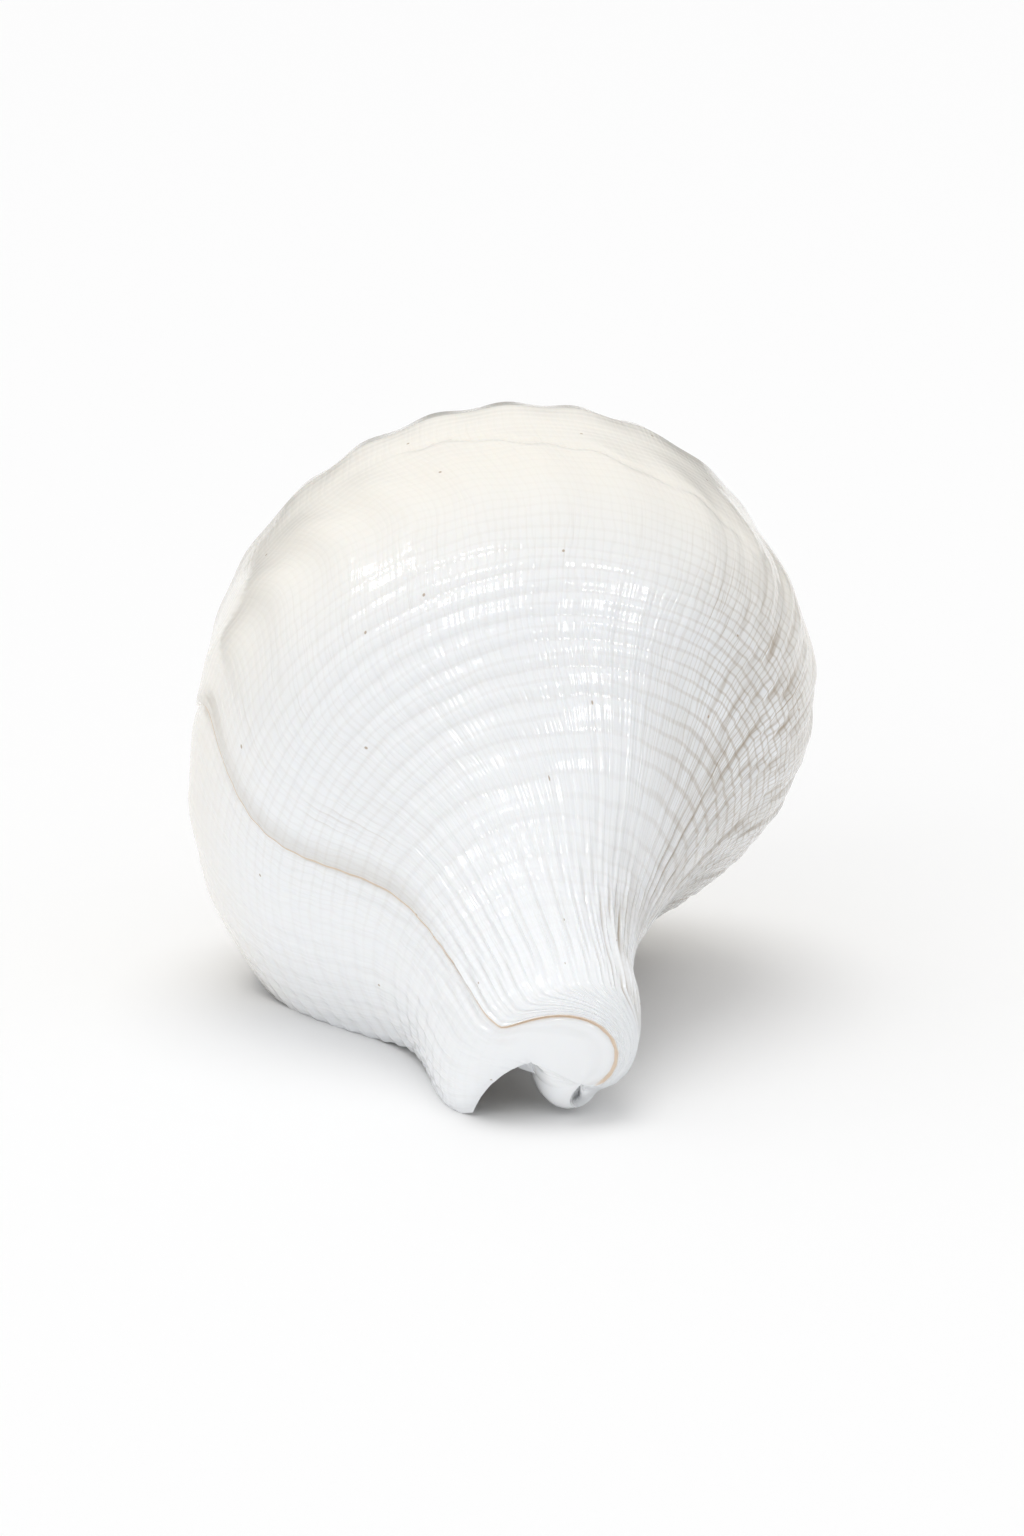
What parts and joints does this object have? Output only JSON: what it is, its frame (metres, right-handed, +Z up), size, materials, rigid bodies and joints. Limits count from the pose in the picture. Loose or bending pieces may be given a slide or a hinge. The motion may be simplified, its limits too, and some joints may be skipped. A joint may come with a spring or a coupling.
{
  "type": "conch shell",
  "caption": "Polished white conch shell with a knobbed shoulder and a long siphonal canal, lying on its aperture.",
  "frame": {"origin": "middle of the bounding box, on the surface that the shell rests on", "axes": "+Z up as the shell lies on its aperture, +Y towards the spire's apex and -Y towards the canal's tip, -X towards the outer lip"},
  "size_m": [0.0792, 0.1124, 0.0742],
  "materials": {
    "polished_shell": "gloss"
  },
  "bodies": {
    "root": {"shell": "polished_shell"}
  },
  "joints": []
}
